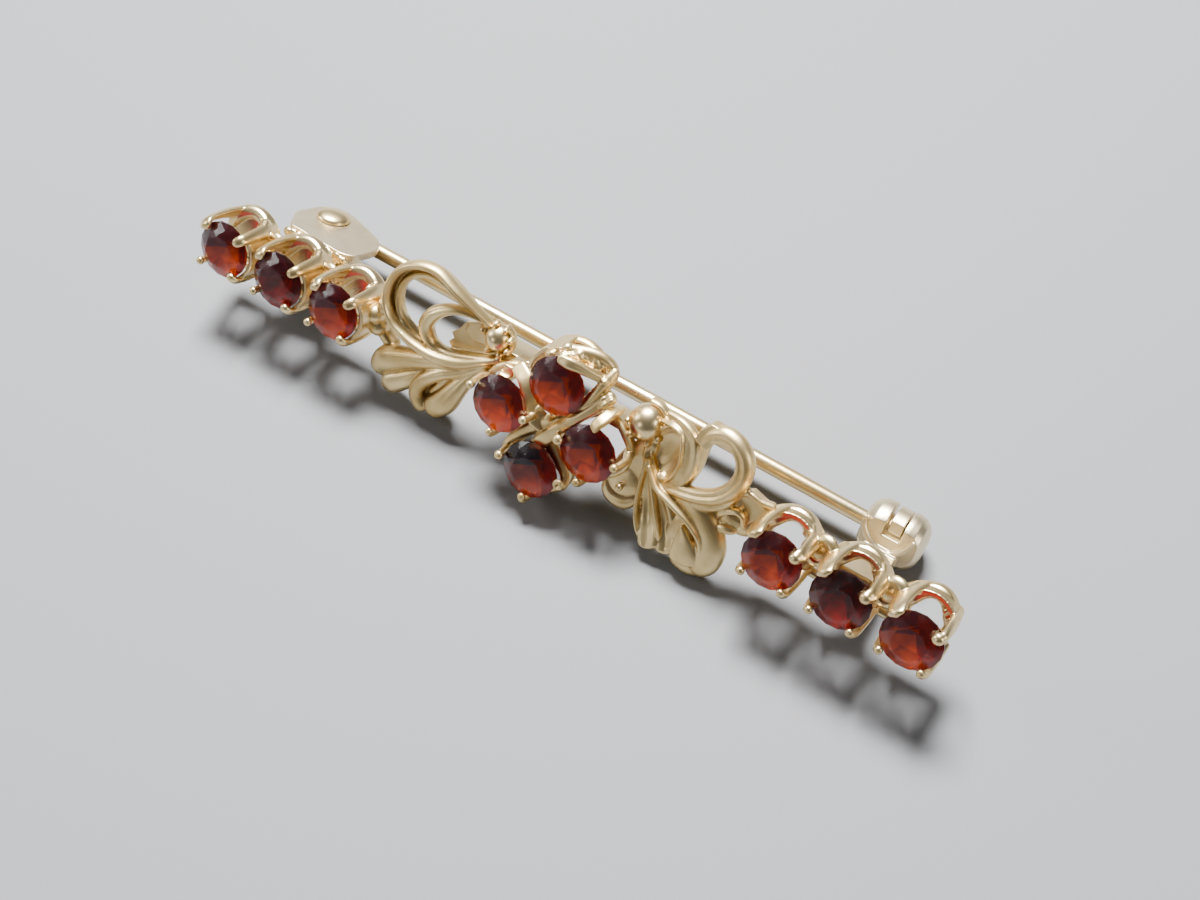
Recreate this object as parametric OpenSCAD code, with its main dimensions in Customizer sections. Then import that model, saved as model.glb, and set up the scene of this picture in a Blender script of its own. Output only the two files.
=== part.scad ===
// Bar brooch: ten claw-set garnets in two rows and a cluster, two cast scrolls,
// a riveted pin and a roller catch. It rests on two lower leaves of the scrolls
// and on the hinge and the catch behind, with its face tilted up.
// Brooch axes: x along the bar, y up the face, z out of the face.

/* [Stones] */
// Diameter of each round garnet
stone_d = 3.2; // [2.6:0.1:3.4]
// Height of the garnet's crown above its girdle
crown_h = 0.52; // [0.3:0.02:0.8]
// Depth of the garnet's pavilion below its girdle
pavilion_h = 1.35; // [1:0.05:1.8]
// Distance between neighbouring stones in a row
pitch = 3.8; // [3.6:0.05:4.4]
// Distance from the middle of the brooch to the first stone of a row
row_start = 13.53; // [13:0.01:15]
// Distance from the middle to the left and right stones of the cluster
cluster_x = 2.74; // [2.6:0.02:3.2]
// Distance from the middle to the upper and lower stones of the cluster
cluster_y = 2.62; // [2.6:0.02:3.2]

/* [Settings] */
// Outer radius of the base ring of a setting
ring_r = 1.70; // [1.5:0.02:1.88]
// Wall of the base ring
ring_wall = 0.5; // [0.35:0.05:0.7]
// Depth of the base ring
ring_h = 0.85; // [0.5:0.05:1.2]
// Distance from a girdle back to the rear face of the base ring
ring_back = 2.8; // [2.6:0.05:3.6]
// Distance from a girdle back to the rear face of a ring in the cluster
cluster_back = 2.0; // [1.9:0.05:2.6]
// Radius of a claw's wire
claw_r = 0.29; // [0.22:0.01:0.4]
// Distance from a stone's axis to the middle of a claw's tip
claw_at = 1.48; // [1.44:0.01:1.6]

/* [Pin and hinge] */
// Radius of the pin's stem
stem_r = 0.43; // [0.3:0.01:0.6]
// Height of the stem's centre line up the face
stem_y = 0.42; // [0:0.02:1]
// Distance of the stem's centre line behind the girdles
stem_back = 7.2; // [6:0.05:8]
// Distance from the middle to the rivet
rivet_x = 18.8; // [17:0.05:20]
// Distance of the rivet behind the girdles
rivet_back = 6.4; // [5.8:0.05:7]
// Radius of the rivet's shank
rivet_r = 0.4; // [0.3:0.02:0.5]
// Thickness of each ear of the hinge
ear_t = 0.46; // [0.3:0.02:0.7]
// Running clearance between moving pieces
play = 0.05; // [0.02:0.01:0.1]

/* [Catch] */
// Outer radius of the catch's drum
drum_r = 1.55; // [1.3:0.05:1.8]
// Length of the drum along the bar
drum_l = 3.45; // [2.8:0.05:4]
// Distance from the middle to the left end of the drum
drum_x = 15.75; // [15:0.05:17]
// Bore of the roller that the stem lies in
roller_bore_r = 0.6; // [0.5:0.02:0.7]
// Outer radius of the roller's tube
roller_r = 0.95; // [0.85:0.02:1.1]

/* [Rest] */
// Angle by which the face leans back from upright
lean = 30.6; // [20:0.1:45]

/* [Hidden] */
$fn = 32;
stone_r = stone_d / 2;
row_x = [row_start, row_start + pitch, row_start + 2 * pitch];
knuckle = [-0.5, 0.88];            // lower and upper face of the pin's knuckle
ear_top = knuckle[1] + play;       // underside of the upper ear
ear_low = knuckle[0] - play;       // upper side of the lower ear
cluster_z = -0.21;
foot_y = -1.17;                    // lowest edge of the hinge
taper_x = drum_x + 1.2;            // where the stem's point begins
// Resting height: the drum's lowest line touches the ground.
lift = drum_r - stem_y * cos(lean) + stem_back * sin(lean);
// Moves the middle of the footprint to the origin.
centre_y = -2.70;
gold = [0.86, 0.72, 0.44];
pale_gold = [0.85, 0.77, 0.62];
garnet_red = [0.42, 0.05, 0.03];

// Rows of the strokes: x, y, z of the centre line, half width, half depth.
left_loop = [
    [ -5.3, 3.10, -1.9, 0.28, 0.40],
    [ -6.8, 3.85, -1.5, 0.34, 0.50],
    [ -8.5, 4.60, -1.3, 0.38, 0.55],
    [-10.3, 4.05, -1.1, 0.38, 0.55],
    [-11.0, 2.60, -1.0, 0.38, 0.55],
    [-10.3, 1.00, -1.1, 0.38, 0.55],
    [ -8.4, 0.32, -1.2, 0.38, 0.50],
    [ -6.2, 0.50, -1.4, 0.38, 0.50],
    [ -4.2, 1.15, -1.9, 0.36, 0.50]];
left_curl = [
    [ -5.0, 3.05, -1.9, 0.24, 0.40],
    [ -6.7, 3.02, -1.5, 0.32, 0.48],
    [ -8.1, 2.30, -1.3, 0.45, 0.50],
    [ -8.4, 1.30, -1.2, 0.44, 0.50],
    [ -7.6, 0.80, -1.1, 0.30, 0.50],
    [ -6.4, 0.90, -1.2, 0.24, 0.50],
    [ -4.6, 1.35, -1.6, 0.20, 0.45]];
right_loop = [
    [  7.9, 0.95, -1.7, 0.28, 0.40],
    [  7.9, 2.20, -1.6, 0.30, 0.45],
    [  8.0, 3.40, -1.6, 0.32, 0.50],
    [  8.7, 4.20, -1.5, 0.36, 0.50],
    [  9.6, 4.15, -1.3, 0.40, 0.55],
    [ 10.3, 3.30, -1.1, 0.42, 0.55],
    [ 10.4, 1.95, -1.0, 0.44, 0.55],
    [  9.5, 0.70, -1.1, 0.42, 0.50],
    [  7.9, 0.10, -1.3, 0.40, 0.50],
    [  6.0, 0.40, -1.6, 0.36, 0.50]];
right_band = [
    [  6.6, 3.35, -1.7, 0.26, 0.40],
    [  7.4, 2.90, -1.2, 0.34, 0.50],
    [  7.4, 1.70, -1.2, 0.34, 0.50],
    [  6.9, 0.50, -1.5, 0.34, 0.45]];
ribbon = [
    [  2.6,  2.75, -1.3, 0.28, 0.40],
    [  1.6,  1.70, -0.6, 0.20, 0.42],
    [  0.5,  0.50, -0.4, 0.40, 0.38],
    [ -0.5, -0.45, -0.4, 0.40, 0.38],
    [ -1.35, -1.30, -0.6, 0.20, 0.42],
    [ -2.2, -2.15, -1.6, 0.26, 0.40]];
nugget = [
    [ 0.98, 3.58,  0.26, 0.26, 0.24],
    [ 1.55, 4.00, -0.35, 0.45, 0.40],
    [ 1.55, 4.10, -1.50, 0.50, 0.40],
    [ 1.15, 3.85, -2.60, 0.45, 0.40]];

// Rows of the leaves: root x, y, tip x, y, z, half width at the root, at the tip.
left_leaves = [
    [-4.7, 0.75, -11.3, -2.30, -1.80, 0.30, 0.98],
    [-5.2, 0.40, -10.7, -3.85, -2.10, 0.28, 1.00],
    [-4.8, 0.70,  -8.1, -4.10, -2.25, 0.35, 1.25]];
right_leaves = [
    [ 5.6, 0.75,   6.7, -4.00, -2.00, 0.28, 0.66],
    [ 5.8, 0.55,   7.8, -4.20, -2.10, 0.28, 0.74],
    [ 6.2, 0.35,   9.1, -4.45, -1.75, 0.30, 0.90],
    [ 6.4, 0.35,  10.6, -3.95, -2.40, 0.35, 1.15],
    [ 7.6, 0.20,  11.3, -0.95, -1.60, 0.40, 0.60],
    [ 5.4, 0.90,   3.8, -2.85, -2.20, 0.50, 0.78]];

module at_rest() translate([0, centre_y, lift]) rotate([90 - lean, 0, 0]) children();

// Smooth curve through the rows: each piece is cut in `cuts` steps.
function spline(a, b, c, d, t) =
    0.5 * (2 * b + (c - a) * t + (2 * a - 5 * b + 4 * c - d) * t * t
    + (3 * b - a - 3 * c + d) * t * t * t);
function smooth_rows(rows, cuts = 3) = let (n = len(rows) - 1) concat(
    [for (i = [0 : n - 1], k = [0 : cuts - 1])
        spline(rows[max(i - 1, 0)], rows[i], rows[i + 1], rows[min(i + 2, n)], k / cuts)],
    [rows[n]]);
function unit(v) = v / norm(v);
function place(row) = [row[0], row[1], row[2]];
function along(rows, i) =
    unit(place(rows[min(i + 1, len(rows) - 1)]) - place(rows[max(i - 1, 0)]));

// Share of a side by which each swept section is turned about its middle.
section_turn = 0.28;
// Solid swept through stations, with an oval section of `sides` corners.
module sweep(rows, sides = 7) {
    count = len(rows);
    points = [for (i = [0 : count - 1])
        let (t = along(rows, i), side = unit(cross(t, [0, 0, 1])), face = cross(side, t))
        for (k = [0 : sides - 1]) place(rows[i])
            + side * rows[i][3] * cos(360 * (k + section_turn) / sides)
            + face * rows[i][4] * sin(360 * (k + section_turn) / sides)];
    walls = [for (i = [0 : count - 2], k = [0 : sides - 1], half = [0, 1])
        let (a = i * sides + k, b = i * sides + (k + 1) % sides)
        half == 0 ? [a, b, b + sides] : [a, b + sides, a + sides]];
    ends = [[for (k = [sides - 1 : -1 : 0]) k],
            [for (k = [0 : sides - 1]) (count - 1) * sides + k]];
    polyhedron(points, concat(walls, ends), convexity = 6);
}
module stroke(rows) sweep(smooth_rows(rows, 2));

// Leaf that swells from its root to a rounded tip.
function leaf_width(leaf, s, run) = let (r = leaf[6], body = run - r)
    s <= body ? leaf[5] + (r - leaf[5]) * pow(sin(90 * s / body), 1.6)
    : max(0.08, sqrt(max(0, r * r - (s - body) * (s - body))));
function leaf_rows(leaf, root_z = -1.7, steps = 6) =
    let (a = [leaf[0], leaf[1], root_z], b = [leaf[2], leaf[3], leaf[4]],
         run = norm(b - a), front = 0.55)
    [for (i = [0 : steps])
        let (t = sin(90 * i / steps), hw = leaf_width(leaf, t * run, run))
        concat(a + (b - a) * t + [0, 0, front * sin(180 * t)], [hw, hw * 0.72])];
module leaf(row) sweep(leaf_rows(row), 6);

module ball(at, r, sides = 16) translate(at) sphere(r, $fn = sides);
module bridge(a, b, ra, rb) hull() {
    ball(a, ra, 7);
    ball(b, rb, 7);
}

// Faceted round stone: table, crown, girdle, pavilion and culet.
module garnet() color(garnet_red) hull() {
    girdle = 0.05;
    translate([0, 0, crown_h - 0.01]) cylinder(h = 0.01, r = stone_r * 0.56, $fn = 8);
    translate([0, 0, crown_h * 0.58]) rotate(22.5)
        cylinder(h = 0.01, r = stone_r * 0.80, $fn = 8);
    translate([0, 0, -girdle]) cylinder(h = 2 * girdle, r = stone_r, $fn = 16);
    translate([0, 0, -pavilion_h * 0.62]) cylinder(h = 0.01, r = stone_r * 0.52, $fn = 8);
    translate([0, 0, -pavilion_h]) cylinder(h = 0.01, r = 0.06, $fn = 8);
}

// Claw that rises from the base ring, thins beside the girdle and ends in a
// rounded tip whose middle lies `tip_at` from the stone's axis.
module claw(turn, tip_at = claw_at, tip_r = 0.27, back = ring_back) {
    thin = 0.16;
    rows = [[ring_r - 0.23, 0, -back + 0.13, claw_r * 1.05, claw_r * 0.9],
            [stone_r + 0.07 + thin, 0, 0.03, claw_r, thin],
            [tip_at, 0, 0.42, tip_r, tip_r],
            [tip_at - 0.03, 0, 0.68, tip_r * 0.6, tip_r * 0.6]];
    rotate(turn) upright_sweep(rows);
}
// Sweep of a wire that climbs along z: sections lie flat, in x and y.
module upright_sweep(rows, sides = 6) {
    count = len(rows);
    points = [for (row = rows, k = [0 : sides - 1]) place(row)
        + [row[4] * cos(360 * k / sides), row[3] * sin(360 * k / sides), 0]];
    walls = [for (i = [0 : count - 2], k = [0 : sides - 1], half = [0, 1])
        let (a = i * sides + k, b = i * sides + (k + 1) % sides)
        half == 0 ? [a, b + sides, b] : [a, a + sides, b + sides]];
    ends = [[for (k = [0 : sides - 1]) k],
            [for (k = [sides - 1 : -1 : 0]) (count - 1) * sides + k]];
    polyhedron(points, concat(walls, ends), convexity = 4);
}

// Basket of one stone: base ring and, in a row, four claws.
module base_ring(back = ring_back, h = ring_h, r = ring_r) translate([0, 0, -back])
    rotate_extrude($fn = 16) translate([r - ring_wall, 0])
        polygon([[0, 0], [ring_wall - 0.12, 0], [ring_wall, 0.14],
                 [ring_wall - 0.08, h], [0.06, h]]);
module basket() {
    base_ring();
    for (turn = [45 : 90 : 315]) claw(turn);
}

// Saddles between neighbours of a row; the upper one has a small oval hole.
module saddle(x) {
    low = -ring_back + 0.25;
    difference() {
        hull() for (side = [-1, 1]) translate([x + side * 0.62, 0, 0]) {
            ball([0, 0.95, low], 0.28, 6);
            ball([0, 1.05, -0.75], 0.22, 6);
            ball([0, 0.55, low + 0.1], 0.28, 6);
        }
        translate([x, 1.0, -1.25]) rotate([60, 0, 0]) scale([0.7, 1, 1])
            cylinder(h = 3, r = 0.34, center = true, $fn = 10);
    }
    bridge([x - 0.5, -1.0, low], [x + 0.5, -1.0, low], 0.28, 0.28);
}

module end_row(side) {
    for (x = row_x) translate([side * x, 0, 0]) basket();
    for (i = [0, 1]) saddle(side * (row_x[i] + pitch / 2));
}

// Four baskets, the ribbons and webs between them and the leaf over the upper stone.
module cluster() {
    for (p = [[-cluster_x, 0], [0, -cluster_y], [cluster_x, 0]])
        translate([p[0], p[1], cluster_z]) {
            base_ring(cluster_back, 0.65);
            for (turn = [12, 168]) claw(turn, 1.72, 0.23, cluster_back);
            claw(270, 1.50, 0.23, cluster_back);
        }
    translate([0, cluster_y, cluster_z]) {
        base_ring(cluster_back + 0.6, 0.7, ring_r + 0.08);
        claw(150, 1.60, 0.23, cluster_back + 0.45);
        for (turn = [270, 294]) claw(turn, 1.50, 0.18, cluster_back + 0.45);
    }
    stroke(ribbon);
    bridge([-0.6, 0.6, -1.1], [-2.3, 2.2, -1.5], 0.38, 0.40);
    bridge([0.6, -0.6, -1.1], [2.0, -1.95, -1.7], 0.40, 0.34);
    bridge([-2.6, -1.7, -1.9], [-1.9, -2.4, -2.2], 0.34, 0.30);
    low = cluster_z - cluster_back + 0.3;
    for (t = [45 : 90 : 315]) bridge([1.1 * cos(t), 1.1 * sin(t), low],
                                     [1.7 * cos(t), 1.65 * sin(t), low], 0.34, 0.34);
    stroke(nugget);
}

// Left scroll: loop, curl, plate, three leaves and a ball in small claws.
module left_scroll() {
    ball_at = [-4.6, 2.42, -1.95];
    stroke(left_loop);
    stroke(left_curl);
    for (row = left_leaves) leaf(row);
    translate([0, 0, -2.3]) linear_extrude(0.5)
        polygon([[-6.9, 1.9], [-5.6, 3.25], [-3.9, 3.3], [-3.6, 1.5], [-4.3, 0.7], [-6.7, 0.5]]);
    ball(ball_at, 0.74, 12);
    for (t = [20 : 60 : 340])
        ball(ball_at + [0.72 * cos(t), 0.72 * sin(t), 0.05], 0.22, 6);
}

// Right scroll: ring, folded band, cup, six leaves and a larger ball.
module right_scroll() {
    ball_at = [4.6, 2.34, -1.9];
    stroke(right_loop);
    stroke(right_band);
    for (row = right_leaves) leaf(row);
    translate([6.3, 1.8, -1.95]) rotate(-12) scale([0.95, 1.6, 0.42]) sphere(1, $fn = 12);
    bridge([10.0, 0.9, -1.4], [9.6, -1.0, -1.7], 0.45, 0.5);
    ball(ball_at, 0.96, 14);
    for (t = [-60, -25, 200, 250])
        ball(ball_at + [0.92 * cos(t), 0.92 * sin(t), 0.1], 0.2, 6);
}

// Bars behind the cluster and knobs between the scrolls and the rows.
module back_bar() {
    bar_t = 0.6;
    low = 1.65 - bar_t;
    translate([-4.9, low, -4.2]) cube([4.0, bar_t, 1.7]);
    translate([-3.6, low, -3.0]) cube([0.7, bar_t, 1.8]);
    translate([1.2, low, -3.37]) cube([4.0, bar_t, 1.5]);
    bridge([-4.6, 2.2, -2.4], [-4.6, 1.3, -3.2], 0.5, 0.35);
    bridge([4.7, 2.2, -2.4], [4.8, 1.3, -2.6], 0.5, 0.35);
    bridge([-4.7, 1.1, -1.9], [-3.7, 0.5, -2.8], 0.45, 0.40);
    bridge([5.4, 0.6, -1.9], [3.9, 0.5, -2.8], 0.50, 0.40);
    knob(-1, [-11.75, 0.15, -1.5]);
    knob(1, [10.95, 0.3, -1.5]);
}
// Two-lobed knob with a foot to the first setting of the row.
module knob(side, at) {
    ball(at, 0.58, 8);
    ball(at + [-side * 0.1, -0.75, -0.1], 0.55, 8);
    bridge(at, [side * 12.3, 0.2, -ring_back + 0.4], 0.5, 0.34);
    bridge([side * 10.3, 0.9, -1.3], at, 0.4, 0.5);
}

// Outline of a hinge ear, seen from above: straight at the front, round behind.
module ear_outline() hull() {
    translate([-19.2, -5.9]) circle(1.5, $fn = 20);
    translate([-18.2, -6.1]) circle(1.45, $fn = 20);
    translate([-16.4, -5.5]) circle(1.3, $fn = 20);
    translate([-19.6, -4.7]) circle(0.7, $fn = 12);
    translate([-19.4, -4.3]) square([4.3, 0.4]);
}
// Turns a plate drawn in x and depth so that its thickness runs up the face.
module plate(y, h) translate([0, y + h, 0]) rotate([90, 0, 0])
    linear_extrude(h) children();

module hinge_mount() difference() {
    union() {
        translate([-19.3, foot_y, -4.3]) cube([3.3, ear_top + 0.1 - foot_y, 1.75]);
        plate(ear_top, ear_t) ear_outline();
        plate(foot_y, ear_low - foot_y) ear_outline();
    }
    rivet_hole(play);
}
module rivet_hole(extra) translate([-rivet_x, 4, -rivet_back]) rotate([90, 0, 0])
    cylinder(h = 8, r = rivet_r + extra, $fn = 28);

// Drum of the catch: rounded, flat in front, bored from the left, with a mouth
// behind and a slot all round for the roller's collar.
module along_drum(x) translate([x, stem_y, -stem_back]) rotate([0, 90, 0]) children();
module catch_mount() {
    slot = [17.0, 18.0];
    edge = 0.5;           // rounding of the drum's ends
    mouth = 0.62;         // half the mouth's width
    bore_l = drum_l + 0.6;
    flat = 1.26;          // from the axis to the flat front
    foot = 1.02;          // from the axis to the back of the foot
    difference() {
        along_drum(drum_x) rotate_extrude($fn = 28)
            intersection() {
                translate([-drum_r, 0]) offset(r = edge, $fn = 12) offset(delta = -edge)
                    square([2 * drum_r, drum_l]);
                square([drum_r, drum_l]);
            }
        along_drum(drum_x - 1) cylinder(h = bore_l, r = roller_r + play, $fn = 28);
        translate([drum_x - 1, stem_y - mouth, -stem_back - 3]) cube([bore_l, 2 * mouth, 3]);
        difference() {
            translate([slot[0], stem_y - 3, -stem_back - 3]) cube([slot[1] - slot[0], 6, 6]);
            translate([slot[0] - 1, stem_y - 3, -stem_back + foot]) cube([3, 3.3, 3]);
        }
        translate([drum_x - 1, stem_y - 3, -stem_back + flat]) cube([6, 6, 3]);
    }
    translate([16.4, -0.6, -stem_back + foot]) cube([1.9, 0.95, 3.6]);
    bridge([15.9, -0.1, -ring_back + 0.3], [18.8, -0.1, -ring_back + 0.3], 0.34, 0.34);
}

module frame() color(gold) at_rest() union() {
    end_row(-1);
    end_row(1);
    cluster();
    left_scroll();
    right_scroll();
    back_bar();
    hinge_mount();
    catch_mount();
}

// Rivet: shank between two domed heads.
module hinge_rivet() color(gold) at_rest() translate([-rivet_x, 0, -rivet_back])
    rotate([-90, 0, 0]) {
    top = ear_top + ear_t + 0.02;      // underside of each head, a hair off its ear
    bottom = foot_y - 0.02;
    translate([0, 0, bottom - 0.1]) cylinder(h = top - bottom + 0.2, r = rivet_r);
    dome(top, 0.97, 0.42);
    mirror([0, 0, 1]) dome(-bottom, 0.85, 0.3);
}
// Dome of radius r and height h that sits on height z.
module dome(z, r, h) {
    ball_r = (r * r + h * h) / (2 * h);
    intersection() {
        translate([0, 0, z + h - ball_r]) sphere(ball_r);
        translate([0, 0, z]) cylinder(h = h, r = r);
    }
}

// Pin: knuckle on the rivet, straight stem and a ground point.
module pin() color(gold) at_rest() difference() {
    tip_x = drum_x + drum_l - 0.75;
    knuckle_r = 1.25;
    union() {
        translate([-rivet_x, knuckle[0], -rivet_back]) rotate([-90, 0, 0])
            cylinder(h = knuckle[1] - knuckle[0], r = knuckle_r);
        translate([-rivet_x, stem_y, -stem_back]) rotate([0, 90, 0])
            cylinder(h = rivet_x + taper_x, r = stem_r);
        translate([taper_x, stem_y, -stem_back]) rotate([0, 90, 0])
            cylinder(h = tip_x - taper_x, r1 = stem_r, r2 = 0.06);
    }
    rivet_hole(play);
}

// Roller: slit tube with a raised collar that shows in the drum's slot.
module catch_roller() color(pale_gold) at_rest() difference() {
    roller_l = 2.75;
    union() {
        along_drum(drum_x + 0.2) cylinder(h = roller_l, r = roller_r);
        intersection() {
            along_drum(17.1) cylinder(h = 0.8, r = drum_r - 0.04);
            translate([17, stem_y + 0.5, -stem_back - 2]) cube([1, 2, 2.95]);
        }
    }
    along_drum(drum_x - 1) cylinder(h = 6, r = roller_bore_r);
    translate([drum_x - 1, stem_y - roller_bore_r, -stem_back - 3])
        cube([6, 2 * roller_bore_r, 3]);
}

// The ten stones in their places.
module set_stone(x, y = 0, z = 0) at_rest() translate([x, y, z]) garnet();
module garnet_left_1() set_stone(-row_x[2]);
module garnet_left_2() set_stone(-row_x[1]);
module garnet_left_3() set_stone(-row_x[0]);
module garnet_centre_left() set_stone(-cluster_x, 0, cluster_z);
module garnet_centre_top() set_stone(0, cluster_y, cluster_z);
module garnet_centre_low() set_stone(0, -cluster_y, cluster_z);
module garnet_centre_right() set_stone(cluster_x, 0, cluster_z);
module garnet_right_1() set_stone(row_x[0]);
module garnet_right_2() set_stone(row_x[1]);
module garnet_right_3() set_stone(row_x[2]);

frame();
garnet_left_1();
garnet_left_2();
garnet_left_3();
garnet_centre_left();
garnet_centre_top();
garnet_centre_low();
garnet_centre_right();
garnet_right_1();
garnet_right_2();
garnet_right_3();
hinge_rivet();
pin();
catch_roller();
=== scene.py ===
import math

import bpy
import numpy as np
from mathutils import Matrix, Vector


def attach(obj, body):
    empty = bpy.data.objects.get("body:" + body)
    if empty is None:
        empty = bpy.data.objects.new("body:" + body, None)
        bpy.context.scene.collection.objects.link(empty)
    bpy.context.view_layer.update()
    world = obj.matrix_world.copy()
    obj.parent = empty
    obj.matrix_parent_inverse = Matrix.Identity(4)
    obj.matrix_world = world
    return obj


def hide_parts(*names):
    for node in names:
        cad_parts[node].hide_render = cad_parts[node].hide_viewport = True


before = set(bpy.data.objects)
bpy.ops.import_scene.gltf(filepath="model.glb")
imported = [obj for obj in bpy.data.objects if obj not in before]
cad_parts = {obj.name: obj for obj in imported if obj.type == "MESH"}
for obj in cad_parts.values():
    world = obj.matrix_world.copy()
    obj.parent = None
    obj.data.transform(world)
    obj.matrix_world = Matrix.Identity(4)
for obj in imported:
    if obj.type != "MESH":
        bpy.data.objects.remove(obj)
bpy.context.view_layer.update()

# placing
# Shapes are drawn in millimetres in the brooch's own frame: x along the bar,
# y up the face, z out of the face. At rest the face is tilted up by LEAN, and
# CENTRE_Y and LIFT bring the brooch over the origin and onto the floor.
LEAN = math.radians(30.6)
MM = 0.001
CENTRE_Y = -2.70
LIFT = 4.853583
SIN, COS = math.sin(LEAN), math.cos(LEAN)


def at_rest(v):
    """Brooch millimetres (n x 3) to the stage's metres."""
    x, y, z = v[:, 0], v[:, 1], v[:, 2]
    return np.stack([x, y * SIN - z * COS + CENTRE_Y, y * COS + z * SIN + LIFT], 1) * MM


# raw shapes
class Shape:
    """A bag of closed shells in brooch millimetres."""

    def __init__(self):
        self.verts, self.faces, self.count = [], [], 0

    def add(self, verts, faces):
        verts = np.asarray(verts, float)
        self.verts.append(verts)
        self.faces += [[i + self.count for i in f] for f in faces]
        self.count += len(verts)

    def points(self):
        return np.vstack(self.verts)


def oval(sides=16):
    """Points round a unit circle; sweep stretches it to an oval."""
    return [(math.cos(2 * math.pi * k / sides), math.sin(2 * math.pi * k / sides)) for k in range(sides)]


def band(first, rings, sides, loop=False):
    """Faces between rings of points, from point first on; loop joins the last ring to ring 0."""
    return [[first + i * sides + k, first + i * sides + (k + 1) % sides,
             first + (i + 1) % rings * sides + (k + 1) % sides, first + (i + 1) % rings * sides + k]
            for i in range(rings if loop else rings - 1) for k in range(sides)]


def globe(rings, sides):
    """Faces of a closed form: a pole, rings of points and another pole."""
    last = 1 + rings * sides
    top = last - sides
    faces = [[0, 1 + (k + 1) % sides, 1 + k] for k in range(sides)]
    faces += band(1, rings, sides)
    return faces + [[top + k, top + (k + 1) % sides, last] for k in range(sides)]


def smooth(rows, cuts):
    """Catmull-Rom curve through the rows, in so many cuts between two of them."""
    rows = np.asarray(rows, float)
    out, n = [], len(rows) - 1
    for i in range(n):
        a, b, c, d = rows[max(i - 1, 0)], rows[i], rows[i + 1], rows[min(i + 2, n)]
        for k in range(cuts):
            t = k / cuts
            out.append(0.5 * (2 * b + (c - a) * t + (2 * a - 5 * b + 4 * c - d) * t * t
                              + (3 * b - a - 3 * c + d) * t ** 3))
    out.append(rows[n])
    return np.array(out)


def sweep(shape, rows, section=None, cuts=6, up=(0, 0, 1)):
    """Solid along rows of x, y, z, half width, half height, with round ends."""
    section = section or oval()
    rows = smooth(rows, cuts)
    ahead = np.gradient(rows[:, :3], axis=0)
    ahead /= np.linalg.norm(ahead, axis=1)[:, None]
    caps = [math.radians(turn) for turn in (30, 55, 80)]
    stations = [(rows[0], ahead[0], -math.sin(a), math.cos(a)) for a in reversed(caps)]
    stations += [(row, along, 0, 1) for row, along in zip(rows, ahead)]
    stations += [(rows[-1], ahead[-1], math.sin(a), math.cos(a)) for a in caps]
    verts = []
    for row, along, out, size in stations:
        side = np.cross(along, np.asarray(up, float))
        side /= np.linalg.norm(side)
        face = np.cross(side, along)
        middle = row[:3] + along * out * min(row[3], row[4]) * 0.8
        for u, v in section:
            verts.append(middle + side * row[3] * u * size + face * row[4] * v * size)
    n, m = len(stations), len(section)
    ends = [list(range(m))[::-1], [(n - 1) * m + k for k in range(m)]]
    shape.add(verts, band(0, n, m) + ends)


def lathe(shape, outline, at, sides, turn=None, wave=None):
    """Ring swept round z through a closed outline of (radius, height)."""
    verts = []
    for k in range(sides):
        a = 2 * math.pi * k / sides
        for r, z in outline:
            if wave:
                r, z = wave(a, r, z)
            verts.append((r * math.cos(a), r * math.sin(a), z))
    verts = np.array(verts)
    if turn is not None:
        verts = verts @ np.array(turn.to_3x3()).T
    faces = [[a, d, c, b] for a, b, c, d in band(0, sides, len(outline), loop=True)]
    shape.add(verts + np.array(at), faces)


def spin(shape, profile, at, turn, sides):
    """Solid of revolution round z; the profile's ends lie on the axis."""
    verts = [(0, 0, profile[0][1])]
    verts += [(r * u, r * v, z) for r, z in profile[1:-1] for u, v in oval(sides)]
    verts.append((0, 0, profile[-1][1]))
    verts = np.array(verts) @ np.array(turn.to_3x3()).T
    shape.add(verts + np.array(at), globe(len(profile) - 2, sides))


def ball(shape, at, radii, turn=0, sides=20):
    """Ellipsoid; radii is a number or three, turn in degrees about z."""
    radii = (radii,) * 3 if np.isscalar(radii) else radii
    steps = sides // 2
    verts = [(0, 0, -1)]
    for i in range(1, steps):
        a = math.pi * i / steps
        verts += [(math.sin(a) * u, math.sin(a) * v, -math.cos(a)) for u, v in oval(sides)]
    verts.append((0, 0, 1))
    verts = np.array(verts) * np.array(radii)
    verts = verts @ np.array(Matrix.Rotation(math.radians(turn), 3, "Z")).T + np.array(at)
    shape.add(verts, globe(steps - 1, sides))


def block(shape, low, high):
    """Box between its lowest and its highest corner."""
    (x0, y0, z0), (x1, y1, z1) = low, high
    verts = [(x, y, z) for z in (z0, z1) for y in (y0, y1) for x in (x0, x1)]
    faces = [[0, 2, 3, 1], [4, 5, 7, 6], [0, 1, 5, 4], [2, 6, 7, 3], [0, 4, 6, 2], [1, 3, 7, 5]]
    shape.add(verts, faces)


def prism(shape, outline, axis, low, high):
    """Plate of an outline, thick along axis 0, 1 or 2 from low to high."""
    n = len(outline)
    verts = []
    for t in (low, high):
        for a, b in outline:
            p = [a, b]
            p.insert(axis, t)
            verts.append(p)
    faces = [[i, (i + 1) % n, n + (i + 1) % n, n + i] for i in range(n)]
    faces += [list(range(n))[::-1], [n + i for i in range(n)]]
    shape.add(verts, faces)


def rod(shape, a, b, ra, rb):
    """Round bar from a to b, with radius ra at a and rb at b, and round ends."""
    a, b = np.array(a, float), np.array(b, float)
    up = (0, 0, 1) if abs((b - a)[2]) < 0.9 * np.linalg.norm(b - a) else (1, 0, 0)
    rows = [(*(a + (b - a) * t), ra + (rb - ra) * t, ra + (rb - ra) * t) for t in (0, 0.34, 0.67, 1)]
    sweep(shape, rows, oval(20), 2, up)


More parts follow.
